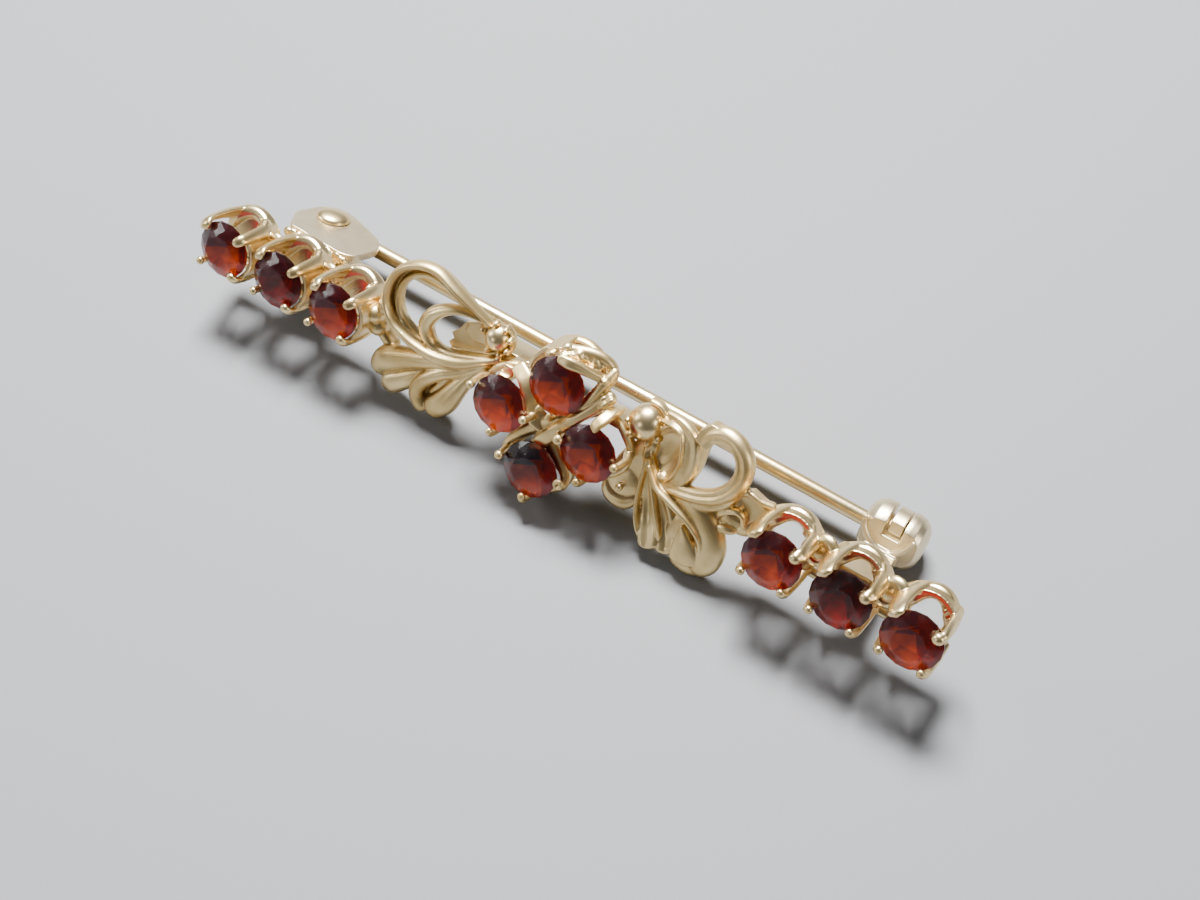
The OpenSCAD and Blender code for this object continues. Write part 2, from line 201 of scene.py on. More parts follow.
def hull_outline(circles):
    """Convex outline round (x, y, r) circles."""
    points = sorted({(round(x + r * u, 4), round(y + r * v, 4)) for x, y, r in circles for u, v in oval(40)})

    def half(seq):
        out = []
        for q in seq:
            while len(out) > 1 and ((out[-1][0] - out[-2][0]) * (q[1] - out[-2][1])
                                    - (out[-1][1] - out[-2][1]) * (q[0] - out[-2][0])) <= 0:
                out.pop()
            out.append(q)
        return out[:-1]

    return half(points) + half(points[::-1])


def drawn(*steps):
    """Shape that each of the steps adds its forms to."""
    shape = Shape()
    for step in steps:
        step(shape)
    return shape


# making pieces
def raw_object(name, shape):
    """Object of a shape, still in brooch millimetres."""
    mesh = bpy.data.meshes.new(name)
    mesh.from_pydata(shape.points().tolist(), [], shape.faces)
    obj = bpy.data.objects.new(name, mesh)
    bpy.context.collection.objects.link(obj)
    return obj


def outward(obj):
    """Turns every face outward."""
    bpy.context.view_layer.objects.active = obj
    for o in bpy.context.selected_objects:
        o.select_set(False)
    obj.select_set(True)
    bpy.ops.object.mode_set(mode="EDIT")
    bpy.ops.mesh.select_all(action="SELECT")
    bpy.ops.mesh.normals_make_consistent(inside=False)
    bpy.ops.object.mode_set(mode="OBJECT")


def apply_all(obj):
    """Puts what the modifiers do into the mesh."""
    depsgraph = bpy.context.evaluated_depsgraph_get()
    mesh = bpy.data.meshes.new_from_object(obj.evaluated_get(depsgraph))
    old = obj.data
    obj.modifiers.clear()
    obj.data = mesh
    bpy.data.meshes.remove(old)


def fuse(obj, voxel):
    """Makes one skin of the mesh's overlapping shells."""
    mod = obj.modifiers.new("fuse", "REMESH")
    mod.mode = "VOXEL"
    mod.voxel_size = voxel
    apply_all(obj)


def cast(name, shape, voxel, rounds=3, keep=0.5, holes=None):
    """Fuses the shells into one cast skin, less the holes, and softens its edges."""
    obj = raw_object(name, shape)
    outward(obj)
    fuse(obj, voxel)
    if holes is not None:
        cutter = raw_object(name + "_cut", holes)
        outward(cutter)
        fuse(cutter, voxel)
        cut = obj.modifiers.new("cut", "BOOLEAN")
        cut.operation = "DIFFERENCE"
        cut.object = cutter
        cut.solver = "EXACT"
        apply_all(obj)
        bpy.data.objects.remove(cutter)
        fuse(obj, voxel)
    soften = obj.modifiers.new("soften", "SMOOTH")
    soften.factor = 0.5
    soften.iterations = rounds
    fewer = obj.modifiers.new("fewer", "DECIMATE")
    fewer.ratio = keep
    apply_all(obj)
    return obj


def bevelled(name, shape, width):
    """Object of a shape with rounded edges."""
    obj = raw_object(name, shape)
    outward(obj)
    edge = obj.modifiers.new("edge", "BEVEL")
    edge.width = width
    edge.segments = 3
    edge.limit_method = "ANGLE"
    apply_all(obj)
    return obj


def place(obj, material, *nodes, sharp=None, body="frame", slot="gold"):
    """Puts a piece at rest, in metres, for its nodes; sharp is an edge angle, 0 for flat facets."""
    mesh = obj.data
    points = np.empty(len(mesh.vertices) * 3)
    mesh.vertices.foreach_get("co", points)
    mesh.vertices.foreach_set("co", at_rest(points.reshape(-1, 3)).ravel())
    mesh.materials.append(material)
    if sharp == 0:
        mesh.shade_flat()
    else:
        mesh.shade_smooth()
    if sharp:
        mesh.set_sharp_from_angle(angle=math.radians(sharp))
    mesh.update()
    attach(obj, body)
    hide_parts(*nodes)


# measures
# Radius of a stone, height of its crown and depth of its pavilion
STONE_R, CROWN, PAVILION = 1.6, 0.52, 1.35
# Centres of the stones, in the rows along the bar and in the cluster, which lies a little deeper
ROW = (13.53, 17.33, 21.13)
CLUSTER = {"left": (-2.74, 0), "top": (0, 2.62), "low": (0, -2.62), "right": (2.74, 0)}
CLUSTER_Z = -0.21
# How far behind the stones' girdles the base rings end
RING_BACK, CLUSTER_BACK, TOP_BACK = 2.8, 2.0, 2.6


# settings
def ridged(groove, at=0.0, wide=0.3, sides=24):
    """Oval section whose front is hollowed along a line."""
    out = []
    for u, v in oval(sides):
        if v > 0:
            v *= 1 - groove * math.exp(-((u - at) / wide) ** 2)
        out.append((u, v))
    return out


def polar(x, y, r, turn, z):
    """Point at height z, r away from x, y in the direction turn."""
    a = math.radians(turn)
    return (x + r * math.cos(a), y + r * math.sin(a), z)


def claw(shape, x, y, z, turn, back, wide, tip_at, tip_r, root=None):
    """Claw from the ring past the girdle, flared at its root and bent over the crown."""
    up = (math.cos(math.radians(turn)), math.sin(math.radians(turn)), 0)
    root = root or wide * 1.3
    rows = [(*polar(x, y, 1.62, turn, -back + 0.3), root * 1.25, 0.3),
            (*polar(x, y, 1.78, turn, -back * 0.6), root * 0.8 + wide * 0.2, 0.26),
            (*polar(x, y, 1.84, turn, -0.8 + z), wide * 1.1, 0.22),
            (*polar(x, y, 1.83, turn, -0.1 + z), wide, 0.19),
            (*polar(x, y, 1.74, turn, 0.26 + z), wide * 0.97, 0.2),
            (*polar(x, y, tip_at + 0.05, turn, 0.46 + z), wide * 0.88, 0.19)]
    sweep(shape, rows, oval(14), 4, up)
    ball(shape, polar(x, y, tip_at + 0.04, turn, 0.42 + z), (tip_r, tip_r, tip_r * 0.86), turn)


def gallery(shape, x, y, back, inner, outer, height, dip=0.13, squeeze=0.0):
    """Base ring, squeezed along the bar, with a front edge scalloped between four claws."""
    wide = outer - inner
    outline = [(inner + 0.05, -back), (outer - 0.08, -back), (outer, -back + 0.15),
               (outer, -back + height - 0.26), (outer - 0.12 * wide, -back + height - 0.10),
               (outer - 0.38 * wide, -back + height), (inner + 0.28 * wide, -back + height),
               (inner + 0.04, -back + height - 0.16), (inner, -back + 0.3)]

    def wave(a, r, z):
        lift = math.cos(4 * (a - math.radians(45)))
        if z > -back + height - 0.3:
            z += dip * (lift - 1) / 2
        if r < (inner + outer) / 2:
            r -= 0.06 * lift
        return r * (1 - squeeze * math.cos(a) ** 2), z

    lathe(shape, outline, (x, y, 0), 96, wave=wave)


def web(shape, x, y, middle, half, low, high, r, thick, dip, flare=0.0):
    """Curved wall between two claws, lower in its middle."""
    n = 24
    verts = []
    for i in range(n + 1):
        across = -1 + 2 * i / n
        turn = middle + half * across
        top = high - dip * (1 - across * across)
        for radius, height in ((r - thick - flare, low), (r + thick - flare, low),
                               (r + thick * 0.7, top), (r - thick * 0.7, top)):
            verts.append(polar(x, y, radius, turn, height))
    ends = [[3, 2, 1, 0], [n * 4 + k for k in range(4)]]
    shape.add(verts, band(0, n + 1, 4) + ends)


def saddle(shape, x, y, z, tilt, scale):
    """Sheet between two settings with a bright rim round its blind hole."""
    turn = Matrix.Rotation(math.radians(tilt), 3, "Z") @ Matrix.Rotation(math.radians(-14), 3, "X")
    half_long, half_wide, rim = 0.72, 0.6, 0.26
    n, m = 48, 20
    verts = []
    for u, v in oval(n):
        middle = np.array([half_long * u, half_wide * v, 0])
        out = np.array([u, v, 0])
        for near, up in oval(m):
            dome = 0.18 * up - 0.1 * (near + 1)
            verts.append(middle + out * rim * near + np.array([0, 0, dome]))
    verts = np.array(verts) @ np.array(turn).T * scale + np.array([x, y, z])
    shape.add(verts, band(0, n, m, loop=True))
    # floor of the hole, stubs to both settings and bars between their base rings
    ball(shape, (x - 0.35, y - 0.55, z - 0.85), (0.85, 0.75, 0.28), tilt, 20)
    for side in (-1, 1):
        rod(shape, (x + side * 0.5, 0.55, -1.5), (x + side * 0.65, 0.45, -2.5), 0.24, 0.28)
        rod(shape, (x + side * 0.62, 1.1, -1.35), (x + side * 0.8, 0.95, -2.3), 0.28, 0.32)
        rod(shape, (x + side * 0.6, 1.3, -1.4), (x + side * 0.95, 1.45, -2.1), 0.25, 0.3)
    rod(shape, (x - 0.45, 0.2, -2.55), (x + 0.45, 0.2, -2.55), 0.24, 0.24)
    rod(shape, (x - 0.75, -1.0, -2.45), (x + 0.75, -1.0, -2.45), 0.28, 0.28)


# Claws of a row's setting: turn, half width, its half width at the root, tip distance, tip radius
CLAWS_LEFT = ((45, 0.32, 0.46, 1.45, 0.26), (135, 0.45, 0.66, 1.50, 0.24),
              (225, 0.20, 0.26, 1.55, 0.24), (315, 0.30, 0.55, 1.47, 0.24))
CLAWS_RIGHT = ((45, 0.37, 0.46, 1.47, 0.33), (135, 0.52, 0.78, 1.62, 0.24),
               (225, 0.22, 0.28, 1.56, 0.24), (315, 0.28, 0.45, 1.50, 0.22))


def make_row(side):
    """Three settings in a row, side -1 for the bar's left end and 1 for its right end."""
    part = Shape()
    left = side < 0
    for x in ROW:
        squeeze = 0.09 if left else 0.28 if x == ROW[2] else 0.17
        x *= side
        gallery(part, x, 0, RING_BACK, 1.2 if left else 1.1, 1.97, 0.9, dip=0.2, squeeze=squeeze)
        for turn, wide, root, tip_at, tip_r in CLAWS_LEFT if left else CLAWS_RIGHT:
            if x == ROW[2] and turn == 45:
                # slim claw at the bar's right end
                wide, root = 0.27, 0.26
            claw(part, x, 0, 0, turn, RING_BACK, wide, tip_at, tip_r, root)
        if left:
            web(part, x, 0, 0, 44, -RING_BACK + 0.3, -0.04, 1.73, 0.17, 0.1, 0.02)
            # inner wall that shows through the opening above the stone
            ball(part, (x - 0.3, 0.15, -RING_BACK + 0.4), (1.15, 1.25, 0.16), 0, 28)
        else:
            web(part, x, 0, 90, 44, -RING_BACK + 0.3, -1.45, 1.72, 0.2, 0.3, 0.05)
        for turn, r in ((60, 0.22), (38, 0.18)):
            ball(part, polar(x, 0, 1.34, turn, -1.95), (r, r * 0.8, r), turn, 14)
    if left:
        saddle(part, -15.5, 0.75, -1.6, 40, 0.85)
        saddle(part, -19.3, 0.75, -1.6, 40, 0.85)
    else:
        saddle(part, 15.28, 1.0, -1.3, 58, 1)
        saddle(part, 19.15, 0.88, -1.3, 58, 1)
    return part


# Claws of each cluster stone: turn, half width, tip distance, tip radius
CLAWS_CLUSTER = {"left": ((167, 0.17, 1.72, 0.24), (3, 0.17, 1.66, 0.24), (272, 0.20, 1.50, 0.20)),
                 "right": ((176, 0.18, 1.60, 0.30), (9, 0.20, 1.68, 0.24), (271, 0.24, 1.54, 0.22)),
                 "low": ((177, 0.17, 1.72, 0.26), (276, 0.22, 1.44, 0.22)),
                 "top": ((253, 0.12, 1.42, 0.15), (279, 0.12, 1.46, 0.15))}
# Section of a flat strip with broken corners
STRAP = [(1, -0.7), (1, 0.7), (0.7, 1), (-0.7, 1), (-1, 0.7), (-1, -0.7), (-0.7, -1), (0.7, -1)]


def cluster_settings(part):
    """Base rings and claws of the four centre stones."""
    for stone, (x, y) in CLUSTER.items():
        if stone == "top":
            gallery(part, x, y, TOP_BACK, 1.50, 2.02, 0.72)
        else:
            gallery(part, x, y, CLUSTER_BACK, 1.46, 1.90, 0.66)
    for stone, claws in CLAWS_CLUSTER.items():
        back = TOP_BACK if stone == "top" else CLUSTER_BACK
        for turn, wide, tip_at, tip_r in claws:
            claw(part, *CLUSTER[stone], CLUSTER_Z, turn, back, wide, tip_at, tip_r)
    # flat claw over the right stone's top
    sweep(part, [
        (2.68, 1.6, 0.06, 0.27, 0.11), (2.74, 1.82, 0.04, 0.3, 0.13), (2.86, 2.08, -0.14, 0.31, 0.17),
        (3.0, 2.34, -0.6, 0.3, 0.2), (3.02, 2.38, -1.2, 0.3, 0.24),
        (2.95, 2.2, -1.9, 0.3, 0.26)], STRAP, 5, (0, 1, 0.4))


def cluster_ribbons(part):
    """Two crossing ribbons and the pale webs between the stones."""
    # broad ribbon from the nugget at the upper right to the low stone
    sweep(part, [
        (-0.5, -1.7, -1.0, 0.26, 0.24), (-0.14, -1.15, -0.66, 0.42, 0.28), (0.3, -0.4, -0.52, 0.4, 0.3),
        (0.75, 0.35, -0.5, 0.36, 0.3), (1.25, 1.05, -0.54, 0.33, 0.3), (1.75, 1.75, -0.66, 0.32, 0.32),
        (2.2, 2.4, -0.85, 0.36, 0.34), (2.6, 3.0, -1.15, 0.38, 0.36)], ridged(0.14, 0.15, 0.35))
    for x, y, z, r in ((2.5, 2.62, -0.75, 0.26), (2.72, 2.95, -0.85, 0.22), (2.3, 2.85, -0.85, 0.2)):
        ball(part, (x, y, z), (r * 1.4, r * 0.8, r), 60, 12)
    # second strand, under the first, to the low stone's claw
    sweep(part, [
        (-2.2, -2.9, -1.3, 0.14, 0.26), (-2.03, -2.35, -1.05, 0.2, 0.28), (-1.7, -1.75, -0.92, 0.28, 0.3),
        (-1.2, -1.1, -0.88, 0.36, 0.3), (-0.65, -0.48, -0.9, 0.4, 0.3), (-0.05, 0.1, -1.0, 0.4, 0.3),
        (0.6, 0.7, -1.2, 0.34, 0.3)], ridged(0.1, -0.2, 0.4))
    # pale webs between the stones
    sweep(part, [
        (-2.75, 1.85, -1.3, 0.4, 0.24), (-2.05, 1.6, -0.95, 0.42, 0.24), (-1.58, 1.06, -0.8, 0.42, 0.24),
        (-1.25, 0.46, -0.8, 0.44, 0.24), (-0.85, 0.05, -0.84, 0.52, 0.24),
        (-0.35, -0.25, -0.95, 0.5, 0.26)], STRAP, 6, (0.3, 0.6, 1))
    sweep(part, [
        (0.2, -1.0, -1.1, 0.4, 0.24), (0.68, -1.4, -0.9, 0.42, 0.24), (1.1, -1.74, -0.88, 0.36, 0.24),
        (1.5, -2.08, -0.9, 0.32, 0.24), (1.8, -2.42, -0.8, 0.28, 0.24), (1.92, -2.68, -0.5, 0.24, 0.24),
        (1.88, -2.6, -0.12, 0.2, 0.2)])
    sweep(part, [(1.2, -1.8, -1.2, 0.24, 0.3), (1.55, -2.1, -1.5, 0.24, 0.3), (1.7, -2.3, -1.9, 0.24, 0.3)])


def cluster_edges(part):
    """Ring-shaped claw, upright bar and the bright wall round the stones."""
    # ring-shaped claw of the low stone
    lathe(part, [(0.19 + 0.13 * u, 0.13 * v) for u, v in oval(10)], (1.84, -2.4, 0.06), 20)
    ball(part, (1.84, -2.4, -0.06), (0.2, 0.2, 0.12), 0, 12)
    # upright bar seen between the left and the top stone
    sweep(part, [
        (-3.36, 0.9, -1.15, 0.36, 0.24), (-3.32, 1.02, -2.0, 0.38, 0.26),
        (-3.22, 1.2, -3.1, 0.38, 0.3)], STRAP, 4, (0, 1, 0))
    # bright wall of the top stone's setting
    web(part, *CLUSTER["top"], 143, 38, -2.3, -0.42, 1.86, 0.18, 0.12)
    ball(part, (-0.92, 4.0, -0.4), (0.34, 0.22, 0.26), 40, 14)
    ball(part, (-0.3, 4.58, -0.75), (0.3, 0.26, 0.3), 20, 14)


def cluster_arch(part):
    """Rough strap and arch that frame the top stone."""
    # strap down the top stone's right
    sweep(part, [
        (2.26, 4.2, -1.5, 0.26, 0.3), (2.12, 3.75, -1.1, 0.28, 0.3), (1.95, 3.2, -0.88, 0.27, 0.28),
        (1.76, 2.6, -0.8, 0.28, 0.28), (1.5, 2.0, -0.74, 0.3, 0.28), (1.15, 1.45, -0.8, 0.3, 0.28)])
    for i in range(9):
        r = 0.13 + 0.04 * math.sin(3.7 * i)
        ball(part, (2.1 - 0.11 * i, 3.8 - 0.24 * i, -0.85 + 0.02 * i), (0.2, r, 0.16), 50 * i, 12)
    # rough arch with its leaf over the stone
    sweep(part, [
        (-0.35, 4.4, -0.9, 0.3, 0.32), (0.3, 4.5, -0.95, 0.42, 0.34), (0.95, 4.58, -1.15, 0.44, 0.34),
        (1.55, 4.56, -1.4, 0.36, 0.34), (2.0, 4.32, -1.6, 0.28, 0.34), (2.22, 3.9, -1.6, 0.25, 0.32),
        (2.18, 3.5, -1.45, 0.22, 0.3)], ridged(0.15))
    sweep(part, [
        (-0.18, 4.22, -0.02, 0.28, 0.2), (0.32, 4.2, -0.06, 0.34, 0.24), (0.82, 4.12, -0.3, 0.32, 0.24),
        (1.35, 3.96, -0.65, 0.28, 0.26), (1.85, 3.75, -1.1, 0.26, 0.28)], ridged(0.2, -0.2, 0.3))
    for i in range(14):
        x = -0.2 + 0.13 * i
        r = 0.23 + 0.06 * math.sin(5.3 * i)
        ball(part, (x, 4.26 + 0.18 * math.sin(2.9 * i), -0.38 - 0.06 * i), (r * 1.3, r, r * 0.8), 57 * i, 12)


# scrolls
# Centre of each scroll's ball, seen from the front
LEFT_BALL, RIGHT_BALL = (-4.6, 2.42), (4.6, 2.34)


def left_loop(part):
    """Big loop of the left scroll and the curl in it."""
    # outer rim of the big loop, its inner strand and the floor between them
    sweep(part, [
        (-5.2, 3.1, -1.7, 0.14, 0.34), (-6.3, 3.74, -1.35, 0.17, 0.42), (-7.3, 4.25, -1.12, 0.22, 0.48),
        (-8.4, 4.68, -1.06, 0.26, 0.46), (-9.45, 4.6, -1.02, 0.26, 0.48), (-10.3, 4.13, -0.98, 0.24, 0.5),
        (-10.88, 3.3, -0.98, 0.22, 0.5), (-11.08, 2.36, -0.98, 0.2, 0.5), (-10.93, 1.52, -1.0, 0.2, 0.5),
        (-10.4, 0.8, -1.02, 0.22, 0.5), (-9.55, 0.36, -1.05, 0.26, 0.5), (-8.6, 0.08, -1.1, 0.3, 0.5),
        (-7.4, 0.0, -1.15, 0.34, 0.48), (-6.1, 0.3, -1.3, 0.34, 0.46), (-4.9, 0.95, -1.55, 0.24, 0.4),
        (-4.1, 1.4, -1.8, 0.18, 0.36)], oval(18))
    sweep(part, [
        (-5.4, 2.95, -1.85, 0.16, 0.3), (-6.3, 3.4, -1.65, 0.18, 0.36), (-7.3, 3.72, -1.52, 0.2, 0.38),
        (-8.2, 4.05, -1.45, 0.2, 0.38), (-9.05, 4.1, -1.42, 0.2, 0.38), (-9.85, 3.75, -1.42, 0.2, 0.38),
        (-10.4, 3.1, -1.42, 0.2, 0.38), (-10.6, 2.35, -1.42, 0.2, 0.38), (-10.45, 1.6, -1.44, 0.2, 0.38),
        (-10.0, 0.95, -1.46, 0.2, 0.38), (-9.3, 0.5, -1.5, 0.22, 0.38),
        (-8.5, 0.25, -1.55, 0.22, 0.36)], oval(16))
    sweep(part, [
        (-5.6, 3.1, -1.9, 0.2, 0.22), (-7.3, 3.98, -1.65, 0.3, 0.24), (-8.35, 4.35, -1.6, 0.34, 0.24),
        (-9.3, 4.35, -1.6, 0.34, 0.24), (-10.15, 3.85, -1.6, 0.34, 0.24), (-10.7, 3.0, -1.6, 0.34, 0.24),
        (-10.85, 2.2, -1.6, 0.32, 0.24), (-10.6, 1.4, -1.6, 0.32, 0.24), (-9.9, 0.72, -1.6, 0.34, 0.24),
        (-8.9, 0.25, -1.65, 0.34, 0.24)], oval(12))
    # inner curl: thick and rolled at the left, thin at both ends
    sweep(part, [
        (-5.2, 3.0, -1.8, 0.14, 0.3), (-6.05, 3.18, -1.5, 0.2, 0.36), (-6.85, 3.14, -1.3, 0.26, 0.42),
        (-7.6, 2.82, -1.2, 0.34, 0.46), (-8.2, 2.25, -1.18, 0.42, 0.5), (-8.5, 1.5, -1.2, 0.44, 0.52),
        (-8.3, 0.85, -1.3, 0.4, 0.5), (-7.8, 0.45, -1.4, 0.3, 0.46), (-7.1, 0.42, -1.45, 0.2, 0.42),
        (-6.2, 0.68, -1.45, 0.16, 0.4), (-5.2, 1.0, -1.6, 0.15, 0.38),
        (-4.4, 1.3, -1.75, 0.14, 0.34)], ridged(0.2, 0.55, 0.25, 20))
    # ragged floor of the curl
    prism(part, [
        (-6.6, 2.35), (-6.95, 1.75), (-7.3, 1.35), (-7.1, 1.1), (-7.35, 0.75), (-6.9, 0.35), (-5.6, 0.7),
        (-4.2, 1.1), (-3.8, 1.6), (-4.2, 2.9), (-5.4, 2.85)], 2, -2.25, -1.88)
    prism(part, [
        (-6.35, 2.5), (-6.5, 1.95), (-5.9, 1.6), (-4.9, 1.75), (-4.6, 2.8), (-5.4, 2.95)], 2, -2.0, -1.74)


def left_claws(part):
    """Small claws and a rim round the left ball."""
    for turn, r in ((20, 0.2), (62, 0.18), (105, 0.2), (140, 0.24), (172, 0.24), (250, 0.2),
                    (300, 0.22), (335, 0.2)):
        ball(part, polar(*LEFT_BALL, 0.86, turn, -1.75), (r, r, 0.34), turn, 12)
    sweep(part, [(*polar(*LEFT_BALL, 0.92, a, -1.95), 0.12, 0.26) for a in (-50, -20, 10, 40, 70)], oval(10))
    ball(part, (-3.5, 1.5, -1.9), 0.2, 0, 12)
    ball(part, (-3.8, 1.15, -1.9), 0.16, 0, 12)


def left_leaves(part):
    """Rounded lobes of the left leaves, a ridge between them and the metal behind."""
    sweep(part, [
        (-4.6, 0.85, -1.75, 0.24, 0.34), (-6.2, 0.12, -1.55, 0.36, 0.42), (-7.8, -0.55, -1.45, 0.48, 0.5),
        (-9.3, -1.2, -1.5, 0.62, 0.6), (-10.4, -1.85, -1.6, 0.78, 0.7),
        (-10.85, -2.5, -1.75, 0.7, 0.66)], oval(20))
    sweep(part, [
        (-6.4, -0.5, -1.85, 0.3, 0.4), (-8.0, -1.55, -1.85, 0.5, 0.5), (-9.0, -2.4, -1.85, 0.62, 0.6),
        (-9.9, -3.15, -1.9, 0.72, 0.66), (-10.1, -3.4, -1.95, 0.66, 0.62)], oval(20))
    sweep(part, [
        (-4.9, 0.55, -1.75, 0.24, 0.34), (-6.0, -0.3, -1.55, 0.34, 0.42), (-7.1, -0.98, -1.4, 0.42, 0.5),
        (-7.95, -1.9, -1.42, 0.44, 0.54), (-8.25, -2.85, -1.6, 0.46, 0.54),
        (-7.85, -3.55, -1.8, 0.5, 0.5)], oval(18))
    sweep(part, [
        (-4.7, 0.6, -1.85, 0.26, 0.34), (-5.5, -0.45, -1.7, 0.42, 0.42), (-6.0, -1.5, -1.6, 0.6, 0.52),
        (-6.45, -2.5, -1.6, 0.72, 0.6), (-7.1, -3.25, -1.75, 0.7, 0.58)], oval(20))
    sweep(part, [
        (-6.3, -0.75, -1.95, 0.2, 0.3), (-6.95, -1.6, -1.85, 0.24, 0.32),
        (-7.45, -2.5, -1.95, 0.3, 0.34)], oval(12))
    ball(part, (-7.2, -2.6, -2.25), (0.95, 1.1, 0.5), -35)


def left_knob(part):
    """Knob between the left scroll and its row."""
    ball(part, (-11.75, 0.35, -1.35), 0.55)
    ball(part, (-11.6, -0.45, -1.75), (0.62, 0.6, 0.58))
    ball(part, (-11.35, 1.0, -1.5), (0.35, 0.5, 0.5), 30)
    sweep(part, [
        (-11.5, 1.2, -1.7, 0.3, 0.4), (-11.6, 0.2, -1.9, 0.4, 0.5), (-11.3, -0.7, -2.0, 0.4, 0.5),
        (-10.6, -1.2, -2.0, 0.4, 0.5)])


def right_ring(part):
    """Ring of the right scroll and the fold at its top."""
    # wide sheet on the left that folds over at the top and thins to the right
    sweep(part, [
        (7.75, 0.55, -1.7, 0.24, 0.4), (7.98, 1.7, -1.6, 0.26, 0.42), (7.98, 2.9, -1.45, 0.3, 0.44),
        (8.1, 3.7, -1.3, 0.38, 0.46), (8.7, 4.2, -1.22, 0.48, 0.5), (9.5, 4.15, -1.15, 0.5, 0.54),
        (10.15, 3.65, -1.12, 0.5, 0.55), (10.42, 2.8, -1.1, 0.49, 0.55), (10.2, 1.85, -1.12, 0.47, 0.54),
        (9.62, 1.02, -1.18, 0.45, 0.52), (8.8, 0.48, -1.25, 0.42, 0.5), (7.9, 0.12, -1.4, 0.38, 0.46),
        (6.9, -0.15, -1.6, 0.34, 0.4), (6.1, 0.0, -1.75, 0.26, 0.34)], ridged(0.34, 0.28, 0.26))
    prism(part, [
        (7.45, 3.3), (7.55, 3.9), (8.0, 4.5), (8.75, 4.5), (8.85, 4.2), (8.5, 3.6),
        (8.2, 3.0)], 2, -1.75, -0.98)
    sweep(part, [
        (10.55, 1.9, -1.35, 0.2, 0.4), (10.1, 0.75, -1.35, 0.24, 0.4), (9.2, 0.0, -1.45, 0.26, 0.4),
        (8.0, -0.35, -1.6, 0.24, 0.36)], oval(14))


# Profile of a shallow dish of radius 1, from its underside to its hollow
DISH = [(0, -0.85), (0.5, -0.8), (0.85, -0.6), (1, -0.35), (1.03, -0.1), (0.97, 0),
        (0.85, -0.15), (0.6, -0.36), (0.3, -0.46), (0, -0.48)]


def right_cup(part):
    """Cup, its thin inner rim, the broad fluted band round it and the claws at the right ball."""
    stretch = Matrix.Rotation(math.radians(-14), 4, "Z") @ Matrix.Diagonal((1.02, 1.66, 1, 1))
    spin(part, DISH, (6.12, 1.55, -1.5), stretch, 48)
    sweep(part, [
        (5.5, 3.0, -1.8, 0.14, 0.3), (6.15, 3.2, -1.5, 0.14, 0.34), (6.7, 3.05, -1.38, 0.14, 0.36),
        (7.0, 2.45, -1.32, 0.13, 0.38), (7.14, 1.55, -1.32, 0.13, 0.38), (7.02, 0.7, -1.4, 0.13, 0.36),
        (6.75, 0.15, -1.55, 0.13, 0.3)], oval(14))
    sweep(part, [
        (5.6, 3.45, -1.85, 0.18, 0.34), (6.45, 3.42, -1.62, 0.3, 0.4), (7.15, 3.05, -1.48, 0.42, 0.44),
        (7.48, 2.4, -1.44, 0.5, 0.46), (7.58, 1.5, -1.46, 0.5, 0.46), (7.38, 0.62, -1.5, 0.46, 0.44),
        (6.9, 0.1, -1.56, 0.38, 0.4), (6.3, -0.08, -1.62, 0.32, 0.38),
        (5.7, 0.25, -1.7, 0.24, 0.36)], ridged(0.36, 0.0, 0.5))
    for turn, r, z in ((-62, 0.22, -1.6), (-28, 0.24, -1.65), (200, 0.2, -1.8), (240, 0.22, -1.6),
                       (15, 0.22, -1.9)):
        ball(part, polar(*RIGHT_BALL, 1.0, turn, z), (r, r, 0.32), turn, 12)
    sweep(part, [(*polar(*RIGHT_BALL, 1.12, a, -2.2), 0.14, 0.32) for a in (0, 25, 50, 75, 100)], oval(10))


def right_leaves(part):
    """Two hollow leaves with curled ends and the three ridges beside them."""
    sweep(part, [
        (5.4, 0.9, -1.8, 0.2, 0.3), (5.75, -0.5, -1.85, 0.34, 0.34), (6.15, -1.75, -1.98, 0.5, 0.38),
        (6.55, -2.7, -1.88, 0.62, 0.42), (6.88, -3.35, -1.55, 0.66, 0.44),
        (7.05, -3.7, -1.34, 0.6, 0.4)], ridged(0.6, 0.05, 0.55))
    sweep(part, [
        (5.6, 0.6, -1.7, 0.2, 0.3), (6.3, -0.4, -1.52, 0.36, 0.38), (6.9, -1.3, -1.74, 0.5, 0.42),
        (7.4, -2.2, -1.82, 0.64, 0.44), (7.8, -3.0, -1.66, 0.7, 0.44),
        (8.0, -3.5, -1.46, 0.66, 0.42)], ridged(0.5, -0.1, 0.5))
    sweep(part, [
        (5.36, 0.6, -1.6, 0.11, 0.2), (5.48, -0.8, -1.55, 0.13, 0.22), (5.64, -2.0, -1.55, 0.14, 0.24),
        (5.98, -3.05, -1.57, 0.15, 0.26), (6.45, -3.72, -1.62, 0.17, 0.28),
        (7.05, -3.95, -1.68, 0.2, 0.3)], oval(12))
    sweep(part, [
        (5.45, 0.7, -1.5, 0.12, 0.2), (6.15, -0.38, -1.3, 0.14, 0.24), (6.7, -1.45, -1.3, 0.15, 0.26),
        (7.2, -2.5, -1.38, 0.15, 0.26), (7.55, -3.3, -1.52, 0.15, 0.24)], oval(12))
    sweep(part, [
        (5.7, 0.4, -1.4, 0.13, 0.24), (6.4, -0.28, -1.15, 0.16, 0.26), (7.2, -0.57, -1.08, 0.18, 0.3),
        (8.05, -0.87, -1.05, 0.18, 0.3), (8.65, -1.13, -1.08, 0.17, 0.3), (9.2, -1.51, -1.12, 0.16, 0.28),
        (9.6, -1.95, -1.2, 0.14, 0.26), (9.8, -2.6, -1.3, 0.12, 0.24)], oval(12))


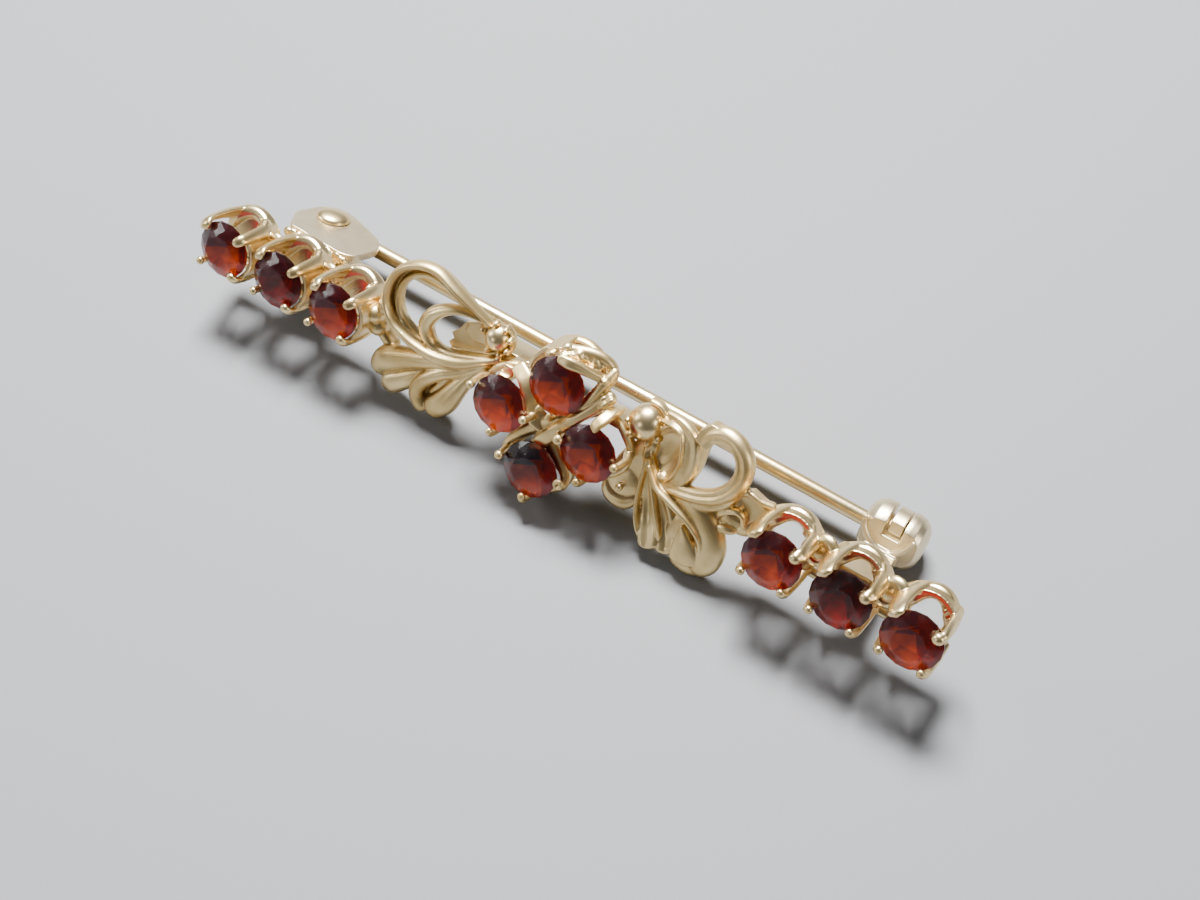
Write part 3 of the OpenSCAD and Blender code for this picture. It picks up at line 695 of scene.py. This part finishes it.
def right_lobe(part):
    """Great lobe below the ring, with a flat drop on it."""
    sweep(part, [
        (6.4, 0.1, -1.75, 0.34, 0.4), (7.6, -0.25, -1.65, 0.5, 0.46), (8.75, -0.65, -1.58, 0.7, 0.5),
        (9.65, -1.35, -1.6, 0.86, 0.55), (10.05, -2.2, -1.62, 0.94, 0.56), (9.95, -3.0, -1.65, 1.0, 0.56),
        (9.6, -3.4, -1.7, 0.95, 0.54)], oval(28))
    sweep(part, [
        (10.25, -2.3, -1.65, 0.5, 0.45), (10.05, -3.3, -1.7, 0.6, 0.45), (9.4, -3.82, -1.72, 0.6, 0.42),
        (8.6, -3.8, -1.75, 0.5, 0.38)], oval(20))
    ball(part, (8.75, -2.65, -1.85), (1.5, 1.45, 0.5), -35, 28)
    flat_front = [(u, v * (0.6 if v > 0 else 1)) for u, v in oval(28)]
    sweep(part, [
        (8.42, -1.75, -1.3, 0.12, 0.18), (8.7, -2.3, -1.16, 0.44, 0.24), (8.98, -2.95, -1.12, 0.7, 0.26),
        (9.08, -3.5, -1.14, 0.72, 0.26)], flat_front)


def right_wing(part):
    """Wing under the cluster's right stone, with its rolled lip."""
    sweep(part, [
        (5.2, 1.4, -2.0, 0.5, 0.4), (4.85, 0.2, -2.0, 0.9, 0.42), (4.6, -0.9, -2.05, 1.05, 0.44),
        (4.5, -1.7, -2.1, 1.08, 0.46), (4.5, -2.2, -2.12, 1.0, 0.46)], ridged(0.25, -0.05, 0.6, 28))
    sweep(part, [
        (3.62, -1.7, -2.0, 0.2, 0.3), (3.78, -2.2, -1.88, 0.36, 0.4), (4.2, -2.5, -1.84, 0.48, 0.42),
        (4.85, -2.5, -1.84, 0.5, 0.4), (5.4, -2.1, -1.92, 0.32, 0.34)], oval(16))
    ball(part, (4.5, -1.45, -2.0), (1.1, 1.3, 0.46), 0, 28)
    ball(part, (4.54, -1.57, -1.32), 0.22, 0, 16)


def right_knob(part):
    """Small shell and sheet between the right scroll and its row."""
    stretch = Matrix.Rotation(math.radians(25), 4, "Z") @ Matrix.Diagonal((0.74, 0.64, 0.7, 1))
    spin(part, DISH, (10.62, 0.0, -1.5), stretch, 40)
    sweep(part, [
        (9.9, -0.2, -1.6, 0.16, 0.26), (10.02, 0.12, -1.36, 0.18, 0.24), (10.35, 0.45, -1.3, 0.19, 0.24),
        (10.78, 0.66, -1.3, 0.2, 0.24), (11.12, 0.5, -1.38, 0.18, 0.24),
        (11.25, 0.1, -1.5, 0.16, 0.24)], oval(14))
    ball(part, (10.5, -0.7, -1.6), (0.62, 0.3, 0.36), 15, 20)
    sweep(part, [
        (9.7, 0.25, -1.7, 0.5, 0.4), (10.4, -0.2, -1.95, 0.6, 0.45), (11.2, -0.3, -2.05, 0.6, 0.5),
        (12.0, 0.1, -2.2, 0.5, 0.5)])
    prism(part, [
        (10.4, 1.2), (10.65, 1.75), (11.05, 1.95), (11.7, 1.75), (12.3, 1.6), (12.0, 0.9), (11.4, 0.1),
        (10.9, 0.3)], 2, -2.05, -1.6)
    sweep(part, [
        (10.5, 1.55, -1.65, 0.16, 0.26), (11.0, 1.78, -1.58, 0.18, 0.26), (11.6, 1.66, -1.62, 0.18, 0.26),
        (12.2, 1.6, -1.85, 0.2, 0.3)], oval(14))
    ball(part, (10.78, 1.9, -1.55), 0.2, 0, 12)
    ball(part, (10.55, 0.85, -1.8), (0.5, 0.42, 0.32), 20, 16)


def make_balls():
    """The polished ball of each scroll."""
    part = Shape()
    ball(part, (*LEFT_BALL, -1.95), 0.76, 0, 40)
    ball(part, (*RIGHT_BALL, -1.9), 0.97, 0, 48)
    return part


# hinge, pin and catch
# Axis of the hinge as x and z; the stem's y, its depth behind the face and its radius
HINGE = (-18.8, -6.4)
STEM_Y, STEM_BACK, STEM_R = 0.42, 7.2, 0.43
# Where the catch's drum starts and ends along the bar, and its radius
DRUM_START, DRUM_END, DRUM_R = 15.75, 19.2, 1.55
# Slot in the drum for the roller's collar, and foot that carries the drum
SLOT_START, SLOT_END = 17.0, 18.0
FOOT_START, FOOT_END = 16.42, 18.28
# Reach of a cut that runs clear of the metal
CLEAR = 3
ACROSS = Matrix.Rotation(math.radians(90), 4, "Y")
UPWARD = Matrix.Rotation(math.radians(-90), 4, "X")


def make_hinge():
    """Two ears on a block, which is soldered behind the left row."""
    part = Shape()
    ear = hull_outline([(-18.8, -6.35, 1.5), (-19.3, -5.3, 1.2), (-16.85, -5.25, 1.8), (-16.2, -4.4, 1.0),
                        (-19.4, -4.05, 0.5)])
    prism(part, ear, 1, 0.95, 1.37)
    foot = hull_outline([(-19.2, -5.9, 1.48), (-18.2, -6.1, 1.43), (-16.6, -5.5, 1.25), (-19.6, -4.7, 0.7),
                         (-19.3, -4.25, 0.1), (-15.75, -4.3, 0.15)])
    prism(part, foot, 1, -1.15, -0.57)
    block(part, (-19.3, -1.15, -4.28), (-16.0, 0.72, -2.6))
    block(part, (-19.2, 0.5, -4.6), (-15.9, 1.1, -3.7))
    return part


def make_solder():
    """Rough gold along the hinge's front edge, where it is soldered to the row."""
    part = Shape()
    for i in range(17):
        x = -19.6 + 0.24 * i
        up = 0.92 + 0.08 * math.sin(2.3 * i)
        r = 0.3 + 0.05 * math.sin(4.1 * i)
        ball(part, (x, up, -3.46 - 0.03 * (i % 3)), (r * 1.15, r, r * 0.8), 40 * i, 14)
        ball(part, (x + 0.1, up - 0.32, -3.5), (r, r * 1.2, r * 0.8), 70 * i, 14)
    for x, y, z, r in ((-17.6, 0.55, -3.6, 0.26), (-17.1, 0.6, -3.3, 0.24), (-16.5, 0.65, -3.5, 0.28),
                       (-16.9, 0.7, -2.9, 0.22)):
        ball(part, (x, y, z), (r * 1.3, r, r), 50 * x, 14)
    return part


def make_bars():
    """Flat bars behind the cluster."""
    part = Shape()
    block(part, (-4.88, 1.07, -4.18), (-0.92, 1.63, -2.5))
    block(part, (-3.58, 1.07, -3.1), (-2.92, 1.63, -1.25))
    block(part, (1.22, 1.07, -3.35), (5.18, 1.63, -1.89))
    return part


def round_bar(low, high, r, edge):
    """Profile of a solid cylinder with rounded ends, from pole to pole."""
    arc = [math.radians(a) for a in (0, 22, 45, 68, 90)]
    return ([(0, low)] + [(r - edge + edge * math.sin(a), low + edge - edge * math.cos(a)) for a in arc]
            + [(r - edge + edge * math.cos(a), high - edge + edge * math.sin(a)) for a in arc] + [(0, high)])


def make_catch():
    """Drum with the foot that carries it; make_catch_holes cuts it."""
    part = Shape()
    at = (0, STEM_Y, -STEM_BACK)
    spin(part, round_bar(DRUM_START, DRUM_END, DRUM_R, 0.95), at, ACROSS, 72)
    block(part, (FOOT_START, -0.72, -6.3), (FOOT_END, -0.02, -2.6))
    rod(part, (15.9, -0.1, -2.5), (18.8, -0.1, -2.5), 0.34, 0.34)
    return part


def make_catch_rim():
    """Raised lip that runs round the drum's flat front."""
    part = Shape()
    sweep(part, [
        (15.96, 1.25, -6.1, 0.12, 0.2), (16.1, 0.7, -5.98, 0.17, 0.2), (16.62, 0.18, -5.93, 0.19, 0.2),
        (17.2, -0.08, -5.9, 0.2, 0.2), (17.86, -0.02, -5.93, 0.19, 0.2), (18.36, 0.44, -5.98, 0.17, 0.2),
        (18.7, 1.15, -6.1, 0.12, 0.2)], oval(14), 8)
    return part


def make_catch_holes():
    """Bore and mouth for the roller, slot for its collar, and flat front of the drum."""
    part = Shape()
    y, z = STEM_Y, -STEM_BACK
    spin(part, round_bar(DRUM_START - 1, DRUM_END - 0.4, 1.0, 0.05), (0, y, z), ACROSS, 64)
    block(part, (DRUM_START - 1, y - 0.62, z - CLEAR), (DRUM_END - 0.4, y + 0.62, z))
    block(part, (SLOT_START, y - CLEAR, z - CLEAR), (SLOT_END, y + CLEAR, z + 1.02))
    block(part, (SLOT_START, y + 0.3, z), (SLOT_END, y + CLEAR, z + CLEAR))
    # the drum's front is cut flat, above the foot only as far down as the foot's top
    for start, end, bottom in ((DRUM_START - 1, FOOT_START, y - CLEAR), (FOOT_START, FOOT_END, 0.1),
                               (FOOT_END, DRUM_END + 1, y - CLEAR)):
        block(part, (start, bottom, z + 1.16), (end, y + CLEAR, z + CLEAR))
    return part


def make_roller():
    """Tube with a raised collar that shows in the drum's slot."""
    part = Shape()
    at = (0, STEM_Y, -STEM_BACK)
    spin(part, round_bar(DRUM_START + 0.2, DRUM_START + 2.95, 0.95, 0.06), at, ACROSS, 64)
    collar_r, collar_low, collar_front = DRUM_R - 0.06, STEM_Y + 0.5, -6.25
    collar = [(collar_low, -STEM_BACK)]
    for turn in range(20, 131, 5):
        a = math.radians(turn)
        collar.append((max(STEM_Y + collar_r * math.sin(a), collar_low),
                       min(-STEM_BACK + collar_r * math.cos(a), collar_front)))
    prism(part, collar, 0, SLOT_START + 0.2, SLOT_END - 0.09)
    return part


def make_roller_holes():
    """Bore and slit that the stem lies in."""
    part = Shape()
    y, z = STEM_Y, -STEM_BACK
    spin(part, round_bar(DRUM_START - 1, DRUM_END + 1, 0.6, 0.05), (0, y, z), ACROSS, 48)
    block(part, (DRUM_START - 1, y - 0.6, z - CLEAR), (DRUM_END + 1, y + 0.6, z))
    return part


def make_rivet():
    """Shank between two domed heads with a small rim."""
    part = Shape()
    top, bottom = 1.41, -1.19
    steps = [math.radians(a) for a in range(0, 91, 9)]
    profile = [(0.85 * math.sin(a), bottom - 0.02 - 0.28 * math.cos(a)) for a in steps]
    profile += [(0.84, bottom), (0.4, bottom), (0.4, top), (0.96, top)]
    profile += [(0.97 * math.cos(a), top + 0.03 + 0.39 * math.sin(a)) for a in steps]
    spin(part, profile, (HINGE[0], 0, HINGE[1]), UPWARD, 64)
    return part


def make_pin():
    """Knuckle on the rivet, straight stem and a ground point."""
    part = Shape()
    knuckle = [(0.45, -0.5), (1.19, -0.5), (1.25, -0.44), (1.25, 0.82), (1.19, 0.88), (0.45, 0.88)]
    lathe(part, knuckle, (HINGE[0], 0, HINGE[1]), 64, UPWARD)
    stem_start, taper_start, stem_end = -18.4, 16.95, 18.44
    stem = [(0, stem_start), (STEM_R, stem_start), (STEM_R, 0), (STEM_R, taper_start), (0.32, 17.4),
            (0.12, 18.25), (0.05, 18.42), (0, stem_end)]
    spin(part, stem, (0, STEM_Y, -STEM_BACK), ACROSS, 48)
    return part


def garnet(shape, at):
    """Round cut stone; returns each face's zone, 0 crown, 1 top, 2 bottom, 3 right, 4 left; the pavilion
    zones carry painted light and shade.
    """
    x, y, z = at
    ring = {}
    verts = []

    def row(name, share, height, turns):
        ring[name] = len(verts)
        for turn in turns:
            a = math.radians(turn)
            verts.append((x + STONE_R * share * math.cos(a), y + STONE_R * share * math.sin(a), z + height))

    eight = [17.5 + 45 * k for k in range(8)]
    sixteen = [17.5 + 22.5 * k for k in range(16)]
    row("table", 0.56, CROWN, eight)
    row("mid", 0.80, CROWN * 0.6, [a + 22.5 for a in eight])
    row("top", 1.0, 0.05, sixteen)
    row("low", 1.0, -0.05, sixteen)
    row("belt", 0.52, -PAVILION * 0.62, eight[:6] + [306, 341])
    verts.append((x, y, z - PAVILION))
    culet = len(verts) - 1
    table, mid, top, low, belt = (ring[k] for k in ("table", "mid", "top", "low", "belt"))
    faces, kinds = [[table + k for k in range(8)]], [0]
    for k in range(8):
        n = (k + 1) % 8
        a, b, c = 2 * k, 2 * k + 1, (2 * k + 2) % 16
        faces += [[table + k, mid + k, table + n], [table + n, mid + k, top + c, mid + n],
                  [mid + k, top + a, top + b], [mid + k, top + b, top + c],
                  [top + a, low + a, low + b, top + b], [top + b, low + b, low + c, top + c]]
        kinds += [0] * 6
        faces += [[low + a, belt + k, low + b], [low + b, belt + k, belt + n], [low + b, belt + n, low + c],
                  [belt + k, culet, belt + n]]
        zone = {2: 1, 3: 1, 4: 4, 5: 2}.get(k, 3)
        kinds += [2 if k == 6 else zone, zone, zone, 4 if k == 5 else zone]
    shape.add(verts, faces)
    return kinds


# materials
def new_material(name):
    """Material and its shader."""
    m = bpy.data.materials.new(name)
    m.use_nodes = True
    return m, m.node_tree.nodes["Principled BSDF"]


def new_node(m, kind, **values):
    """Shader node; a value called From_Min sets its socket From Min."""
    node = m.node_tree.nodes.new("ShaderNode" + kind)
    for name, value in values.items():
        node.inputs[name.replace("_", " ")].default_value = value
    return node


def link(m, source, output, target, socket):
    """Joins one node's output to another's socket."""
    m.node_tree.links.new(source.outputs[output], target.inputs[socket])


def noise(m, scale, detail):
    """Noise in the piece's own coordinates, so that it moves with the piece."""
    node = new_node(m, "TexNoise", Scale=scale, Detail=detail)
    link(m, new_node(m, "TexCoord"), "Object", node, "Vector")
    return node


def ramp(m, source, low, high, start=0, end=1):
    """Colour that turns from low to high while the noise goes from start to end."""
    node = new_node(m, "ValToRGB")
    for element, position, colour in zip(node.color_ramp.elements, (start, end), (low, high)):
        element.position = position
        element.color = (*colour, 1)
    link(m, source, "Fac", node, "Fac")
    return node


def spread(m, source, low, high):
    """Number that goes from low to high with the noise."""
    node = new_node(m, "MapRange", To_Min=low, To_Max=high)
    link(m, source, "Fac", node, "Value")
    return node


def gold(name, bright, dark, rough, grain, wear):
    """Worn yellow gold: tarnish drifts over it, recesses get painted shade, the bump is its cast grain."""
    m, skin = new_material(name)
    skin.inputs["Metallic"].default_value = 1.0
    drift = noise(m, 420, 6)
    # painted shade: hollow places, found by the mesh's pointiness, darken to 0.42 of the dark gold
    recess_shade = new_node(m, "MapRange", From_Min=0.38, From_Max=0.505)
    link(m, new_node(m, "NewGeometry"), "Pointiness", recess_shade, "Value")
    tone = new_node(m, "Mix")
    tone.data_type = "RGBA"
    tone.inputs["A"].default_value = (*(c * 0.42 for c in dark), 1)
    link(m, recess_shade, "Result", tone, "Factor")
    link(m, ramp(m, drift, dark, bright, 0.34, 0.62), "Color", tone, "B")
    link(m, tone, "Result", skin, "Base Color")
    link(m, spread(m, drift, rough + wear, rough), "Result", skin, "Roughness")
    bump = new_node(m, "Bump", Strength=grain, Distance=0.00004)
    link(m, noise(m, 5200, 4), "Fac", bump, "Height")
    link(m, bump, "Normal", skin, "Normal")
    return m


def crown_glass():
    """Clear polished crown; the colour, with the stone's painted light and shade, lies on the facets under
    it.
    """
    m, skin = new_material("garnet_crown")
    skin.inputs["IOR"].default_value = 1.5
    skin.inputs["Specular IOR Level"].default_value = 0.07
    skin.inputs["Transmission Weight"].default_value = 1.0
    haze = noise(m, 900, 2)
    link(m, ramp(m, haze, (0.92, 0.52, 0.40), (0.98, 0.68, 0.56)), "Color", skin, "Base Color")
    link(m, spread(m, haze, 0.10, 0.34), "Result", skin, "Roughness")
    return m


def painted_facets(name, deep, light):
    """Pavilion facets of one colour zone, painted with the stone's light or shade, clouded by the stone's
    inclusions.
    """
    m, skin = new_material(name)
    skin.inputs["Roughness"].default_value = 0.5
    skin.inputs["Specular IOR Level"].default_value = 0.01
    cloud = noise(m, 1500, 5)
    link(m, ramp(m, cloud, deep, light, 0.36, 0.66), "Color", skin, "Base Color")
    return m


polished = gold("gold_polished", (0.92, 0.73, 0.40), (0.70, 0.51, 0.23), 0.22, 0.14, 0.16)
satin = gold("gold_satin", (0.88, 0.68, 0.34), (0.60, 0.42, 0.17), 0.28, 0.16, 0.22)
pale = gold("gold_pale", (0.90, 0.77, 0.52), (0.70, 0.57, 0.35), 0.30, 0.10, 0.10)
crown = crown_glass()
# painted light and shade of the stones: plum and navy a painted reflection, amber and orange a painted glow
# of light through the stone, ruby and wine darker red with painted shade
plum = painted_facets("garnet_plum", (0.10, 0.009, 0.024), (0.20, 0.030, 0.055))
navy = painted_facets("garnet_navy", (0.012, 0.008, 0.020), (0.04, 0.026, 0.050))
amber = painted_facets("garnet_amber", (0.22, 0.019, 0.001), (0.34, 0.046, 0.001))
orange = painted_facets("garnet_orange", (0.43, 0.046, 0.001), (0.60, 0.086, 0.001))
ruby = painted_facets("garnet_ruby", (0.11, 0.003, 0.001), (0.25, 0.008, 0.001))
wine = painted_facets("garnet_wine", (0.035, 0.002, 0.002), (0.11, 0.005, 0.003))
# Colours of the pavilion's top, bottom, right and left, painted light and shade: a painted reflection at the
# top, a painted glow of light through the stone below and at the left, painted shade at the right; stones
# not named here take the first
PAINTED_ZONES = {None: (plum, amber, ruby, orange), "garnet_centre_low": (navy, amber, ruby, amber),
         "garnet_left_2": (plum, ruby, wine, ruby), "garnet_right_2": (wine, ruby, wine, ruby)}

# metalwork
cluster = drawn(cluster_settings, cluster_ribbons, cluster_edges, cluster_arch)
left_scroll = drawn(left_loop, left_claws, left_leaves, left_knob)
right_scroll = drawn(right_ring, right_cup, right_leaves, right_lobe, right_wing, right_knob)

# cast pieces: name, shape, gold, voxel in millimetres, share of the faces that is kept
for name, shape, material, voxel, keep in (
        ("row_left", make_row(-1), polished, 0.05, 0.5),
        ("row_right", make_row(1), polished, 0.05, 0.5),
        ("cluster_setting", cluster, satin, 0.045, 0.5),
        ("scroll_left", left_scroll, satin, 0.045, 0.6),
        ("scroll_right", right_scroll, satin, 0.045, 0.6),
        ("hinge_solder", make_solder(), polished, 0.045, 0.5)):
    place(cast(name, shape, voxel, keep=keep), material, "frame")
place(cast("hinge_mount", make_hinge(), 0.045, 9, 0.4), pale, "frame")
balls = raw_object("scroll_balls", make_balls())
outward(balls)
place(balls, polished, "frame")
place(cast("catch_mount", make_catch(), 0.04, 2, 0.4, make_catch_holes()), pale, "frame")
place(cast("catch_rim", make_catch_rim(), 0.03), pale, "frame")
place(bevelled("back_bars", make_bars(), 0.07), polished, "frame", sharp=35)
place(cast("roller", make_roller(), 0.03, 2, 0.4, make_roller_holes()), pale, "catch_roller",
      body="catch_roller", slot="gold_roller")

for name, shape, node, body, slot in (("rivet", make_rivet(), "hinge_rivet", "frame", "gold_rivet"),
                                      ("pin_stem", make_pin(), "pin", "pin", "gold_pin")):
    piece = raw_object(name, shape)
    outward(piece)
    place(piece, polished, node, sharp=35, body=body, slot=slot)

# stones
STONES = {f"garnet_left_{k + 1}": (-x, 0, 0) for k, x in enumerate(reversed(ROW))}
STONES |= {f"garnet_right_{k + 1}": (x, 0, 0) for k, x in enumerate(ROW)}
STONES |= {f"garnet_centre_{side}": (x, y, CLUSTER_Z) for side, (x, y) in CLUSTER.items()}

for node, at in STONES.items():
    stone = Shape()
    kinds = garnet(stone, at)
    piece = raw_object("cut_" + node, stone)
    place(piece, crown, node, sharp=0, slot="garnet")
    # painted light: the pavilion's zones take their painted reflection, glow and shade
    for material in PAINTED_ZONES.get(node, PAINTED_ZONES[None]):
        piece.data.materials.append(material)
    for face, kind in zip(piece.data.polygons, kinds):
        face.material_index = kind
    outward(piece)

# stage
floor_mesh = bpy.data.meshes.new("floor")
floor_mesh.from_pydata([(-1, -1, 0), (1, -1, 0), (1, 1, 0), (-1, 1, 0)], [], [(0, 1, 2, 3)])
floor = bpy.data.objects.new("floor", floor_mesh)
bpy.context.collection.objects.link(floor)
paper, skin = new_material("pale_floor")
skin.inputs["Base Color"].default_value = (0.172, 0.176, 0.184, 1)
skin.inputs["Roughness"].default_value = 0.7
floor_mesh.materials.append(paper)

# The camera's place, in millimetres, and its axes, from a fit to the centres of the stones
CAMERA_AT = (24.4, -34.413, 70.080)
CAMERA_RIGHT = (0.836, 0.5497, 0.0002)
CAMERA_BACK = (0.280, -0.4267, 0.8600)
camera_data = bpy.data.cameras.new("camera")
camera_data.lens = 44.98
camera_data.sensor_width = 36
camera_data.clip_start = 0.001
camera = bpy.data.objects.new("camera", camera_data)
bpy.context.collection.objects.link(camera)
back = Vector(CAMERA_BACK).normalized()
up = back.cross(Vector(CAMERA_RIGHT).normalized()).normalized()
turn = Matrix((up.cross(back), up, back)).transposed().to_4x4()
camera.matrix_world = Matrix.Translation(Vector(CAMERA_AT) * MM) @ turn
bpy.context.scene.camera = camera


def lamp(name, at, size, power, colour=(1, 1, 1)):
    """Soft rectangular lamp, aimed at the brooch; at and size in metres, power in watts."""
    data = bpy.data.lights.new(name, "AREA")
    data.shape = "RECTANGLE"
    data.size, data.size_y = size
    data.energy = power
    data.color = colour
    obj = bpy.data.objects.new(name, data)
    bpy.context.collection.objects.link(obj)
    aim = (-Vector(at)).to_track_quat("-Z", "Y")
    obj.matrix_world = Matrix.Translation(Vector(at)) @ aim.to_matrix().to_4x4()


lamp("top_window", (-0.10, 0.15, 0.30), (0.14, 0.08), 7.8)
lamp("left_fill", (-0.30, -0.10, 0.16), (0.10, 0.16), 0.45)
lamp("front_fill", (-0.12, -0.30, 0.13), (0.09, 0.09), 0.1)
lamp("right_fill", (0.30, 0.02, 0.14), (0.08, 0.16), 0.3, (1, 0.95, 0.90))

world = bpy.data.worlds.new("studio")
bpy.context.scene.world = world
world.use_nodes = True
sky = world.node_tree.nodes["Background"]
sky.inputs["Color"].default_value = (0.47, 0.49, 0.52, 1)
sky.inputs["Strength"].default_value = 0.22
